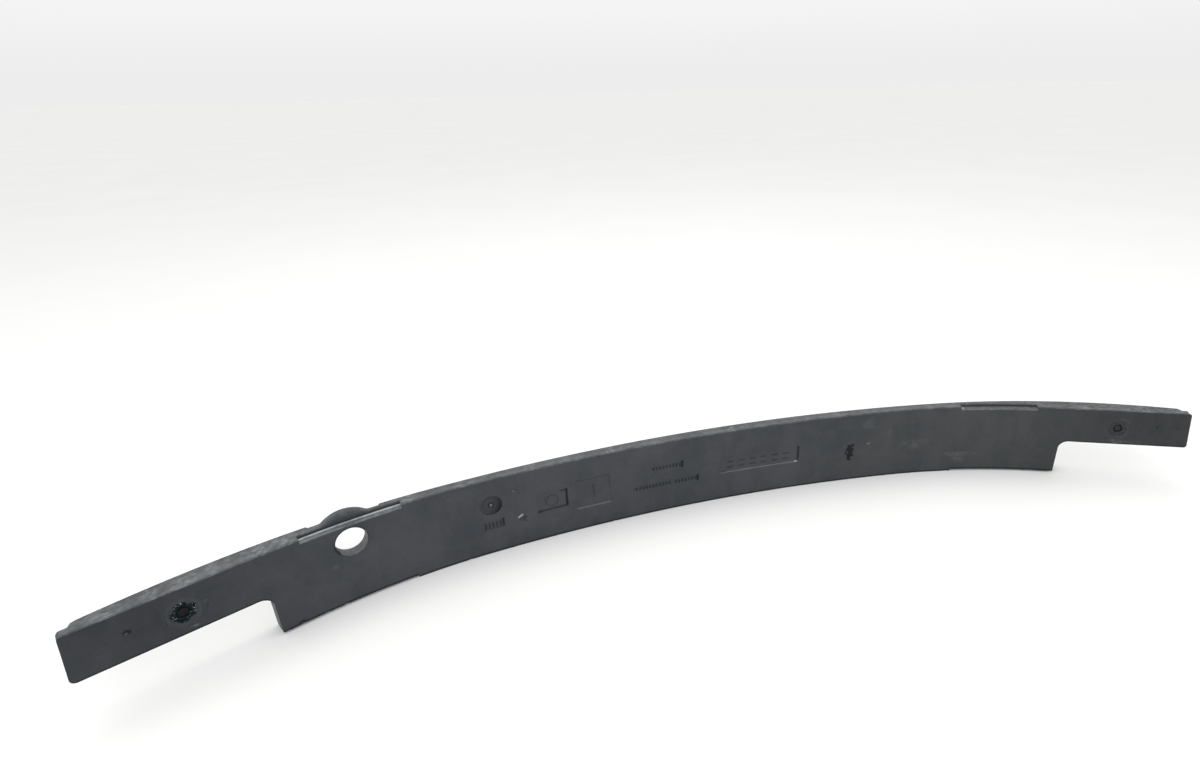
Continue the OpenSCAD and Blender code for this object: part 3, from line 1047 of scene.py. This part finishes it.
def clip_material(name, mouth, dust_low, dust_high):
    """Torn plastic, dark in its mouth and dusty on what is left of the flange."""
    n = Nodes(name)
    patch = n.spread(n.noise(170, 3, 0.6, 0.5), 0.35, 0.65)
    speck = n.spread(n.noise(520, 4, 0.7), 0.56, 0.74)
    base = n.mix(patch, tuple(0.5 * c for c in mouth), mouth)
    base = n.mix(n.math("MULTIPLY", speck, 0.25), base, (0.050, 0.064, 0.068))
    dusty = n.mix(n.spread(n.noise(240, 4, 0.65), 0.35, 0.68), dust_low, dust_high)
    base = n.mix(n.attribute("rub"), base, dusty)
    n.link(base, n.shader.inputs["Base Color"])
    n.link(n.spread(n.noise(380, 3, 0.6), 0.3, 0.7, 0.42, 0.72), n.shader.inputs["Roughness"])
    n.shader.inputs["Specular IOR Level"].default_value = 0.16
    n.bump((n.noise(420, 3, 0.6), 0.4, 0.0004), (n.noise(1600, 2, 0.6), 0.2, 0.0001))
    return n.material


def shard_material():
    """Fresh broken edges, glossy with a cold tint, pale as stress-whitened plastic and lightened further as a
    painted glint.
    """
    n = Nodes("clip_torn_gloss_painted_glint")
    patch = n.spread(n.noise(260, 3, 0.6, 0.4), 0.35, 0.65)
    base = n.mix(patch, (0.020, 0.045, 0.052), (0.300, 0.370, 0.375))
    n.link(base, n.shader.inputs["Base Color"])
    n.link(n.spread(n.noise(600, 3, 0.6), 0.3, 0.7, 0.08, 0.30), n.shader.inputs["Roughness"])
    n.shader.inputs["Specular IOR Level"].default_value = 0.85
    n.bump((n.noise(900, 3, 0.6), 0.35, 0.0002),)
    return n.material


def pin_material(name, low, high):
    n = Nodes(name)
    patch = n.spread(n.noise(240, 3, 0.6, 0.4), 0.35, 0.65)
    grit = n.spread(n.noise(900, 3, 0.7), 0.58, 0.76)
    base = n.mix(patch, low, high)
    base = n.mix(n.math("MULTIPLY", grit, 0.2), base, (0.060, 0.056, 0.052))
    n.link(base, n.shader.inputs["Base Color"])
    n.link(n.spread(n.noise(500, 3, 0.6), 0.3, 0.7, 0.30, 0.58), n.shader.inputs["Roughness"])
    n.shader.inputs["Specular IOR Level"].default_value = 0.14
    n.bump((n.noise(700, 3, 0.6), 0.35, 0.0003), (n.noise(2400, 2, 0.6), 0.2, 0.0001))
    return n.material


def floor_material():
    """Plain pale paper, with only a faint unevenness."""
    n = Nodes("pale_paper")
    tone = n.spread(n.noise(2.2, 4, 0.6), 0.3, 0.7)
    n.link(n.mix(tone, (0.905, 0.905, 0.895), (0.925, 0.926, 0.918)), n.shader.inputs["Base Color"])
    n.link(n.spread(n.noise(12, 3, 0.6), 0.3, 0.7, 0.8, 0.95), n.shader.inputs["Roughness"])
    n.shader.inputs["Specular IOR Level"].default_value = 0.05
    n.bump((n.noise(5, 3, 0.5), 0.15, 0.004), (n.noise(160, 3, 0.6), 0.08, 0.0004))
    return n.material


def dress(obj, *materials):
    obj.data.materials.clear()
    for material in materials:
        obj.data.materials.append(material)


# ---------------------------------------------------------------- camera, floor and lights

CAMERA_AT = (-0.25978, -0.74279, 0.51531)
CAMERA_TURN = (0.2965, 0.4222, -0.0203)
LENS = 20.775
LENS_SHIFT = -0.0625
HORIZON_LIGHT = 0.85
SKY_LIGHT = 0.94
HORIZON_BLEND = 0.14    # sine of the elevation at which the sky is fully bright
FLOOR_HALF = 30
FLOOR_DROP = 0.0003     # keeps the floor just clear of the bar's foot


def build_camera():
    """Camera at CAMERA_AT, turned by its yaw, pitch and roll in radians."""
    yaw, pitch, roll = CAMERA_TURN
    level = math.cos(pitch)
    forward = Vector((math.sin(yaw) * level, math.cos(yaw) * level, -math.sin(pitch)))
    right = Vector((math.cos(yaw), -math.sin(yaw), 0))
    up = right.cross(forward)
    tilted_right = math.cos(roll) * right + math.sin(roll) * up
    tilted_up = math.cos(roll) * up - math.sin(roll) * right
    data = bpy.data.cameras.new("camera")
    data.sensor_width = 36
    data.lens = LENS
    data.shift_x = LENS_SHIFT
    data.clip_start = 0.01
    data.clip_end = 100
    camera = bpy.data.objects.new("camera", data)
    bpy.context.scene.collection.objects.link(camera)
    turned = Matrix((tilted_right, tilted_up, -forward)).transposed().to_4x4()
    camera.matrix_world = Matrix.Translation(CAMERA_AT) @ turned
    bpy.context.scene.camera = camera


def build_floor():
    bm = bmesh.new()
    bmesh.ops.create_grid(bm, x_segments=24, y_segments=24, size=FLOOR_HALF)
    mesh = bpy.data.meshes.new("floor")
    bm.to_mesh(mesh)
    bm.free()
    floor = add_object("floor", mesh)
    floor.location.z = -FLOOR_DROP
    dress(floor, floor_material())


def area_light(name, location, target, size, energy, colour):
    data = bpy.data.lights.new(name, "AREA")
    data.shape = "RECTANGLE"
    data.size, data.size_y = size
    data.energy = energy
    data.color = colour
    light = bpy.data.objects.new(name, data)
    bpy.context.scene.collection.objects.link(light)
    light.location = location
    light.rotation_euler = (Vector(target) - Vector(location)).to_track_quat("-Z", "Y").to_euler()


def studio_world():
    """Even pale light, a little dimmer at the horizon so that it meets the floor without a line."""
    world = bpy.data.worlds.new("studio")
    world.use_nodes = True
    tree = world.node_tree
    direction = tree.nodes.new("ShaderNodeTexCoord")
    split = tree.nodes.new("ShaderNodeSeparateXYZ")
    rise = tree.nodes.new("ShaderNodeMapRange")
    rise.interpolation_type = "SMOOTHSTEP"
    rise.inputs["From Max"].default_value = HORIZON_BLEND
    rise.inputs["To Min"].default_value = HORIZON_LIGHT
    rise.inputs["To Max"].default_value = SKY_LIGHT
    tree.links.new(direction.outputs["Generated"], split.inputs["Vector"])
    tree.links.new(split.outputs["Z"], rise.inputs["Value"])
    background = tree.nodes["Background"]
    background.inputs["Color"].default_value = (0.995, 1.0, 0.995, 1)
    tree.links.new(rise.outputs["Result"], background.inputs["Strength"])
    return world


def build_lights():
    area_light("softbox_top", (-0.2, 0.35, 2.3), (0, -0.05, 0), (3.0, 1.8), 15, (1.0, 0.99, 0.97))
    area_light("softbox_front", (-0.1, -1.7, 1.5), (0.05, -0.05, 0), (1.2, 1.0), 9, (0.96, 0.98, 1.0))
    bpy.context.scene.world = studio_world()
    bpy.context.scene.view_settings.view_transform = "Standard"


# ---------------------------------------------------------------- the scene

build_camera()
build_floor()
build_lights()

bar = build_bar()
dress(bar, foam_material())
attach(bar, "bar")
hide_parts("absorber_bar")

LEFT_FLAKES = (
    (-6.6, 2.3, 1.3), (-8.6, -1.6, 1.5), (-9.4, -3.2, 1.1), (-6.4, -3.8, 1.0),
    (5.2, -3.0, 1.2), (7.0, -3.6, 1.3), (1.6, -7.4, 1.2), (3.6, -6.2, 0.9),
    (8.6, 4.8, 1.3), (5.4, 2.4, 0.9), (-1.5, 7.6, 0.8),
)
torn_skin = shard_material()
# the left clip's mouth and the left pin are coloured darker than black plastic, as painted shade in the crater
left_skin = clip_material(
    "clip_torn_plastic_painted_shade", (0.006, 0.012, 0.015), (0.028, 0.036, 0.039), (0.046, 0.050, 0.054))
right_skin = clip_material(
    "clip_dusty_plastic", (0.016, 0.018, 0.024), (0.020, 0.023, 0.030), (0.044, 0.043, 0.047))
left_pin = pin_material("pin_black_plastic_painted_shade", (0.002, 0.002, 0.003), (0.007, 0.009, 0.011))
right_pin = pin_material("pin_dusty_plastic", (0.016, 0.016, 0.020), (0.032, 0.029, 0.031))
for side, x, seed, mouth, sunk, shards, flakes, skin, pin_skin in (
    ("left", -CLIP_X, 2.0, 9.6, 2.0, 34, LEFT_FLAKES, left_skin, left_pin),
    ("right", CLIP_X, 4.0, 4.9, 0.7, 0, (), right_skin, right_pin),
):
    clip = build_clip(f"retaining_clip_{side}", x, seed, mouth, sunk, shards, flakes, (skin, torn_skin))
    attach(clip, "bar")
    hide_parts(f"clip_body_{side}")
    pin = build_pin(f"spreader_pin_{side}", x, seed + 3)
    dress(pin, pin_skin)
    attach(pin, f"pin_{side}")
    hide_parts(f"clip_pin_{side}")
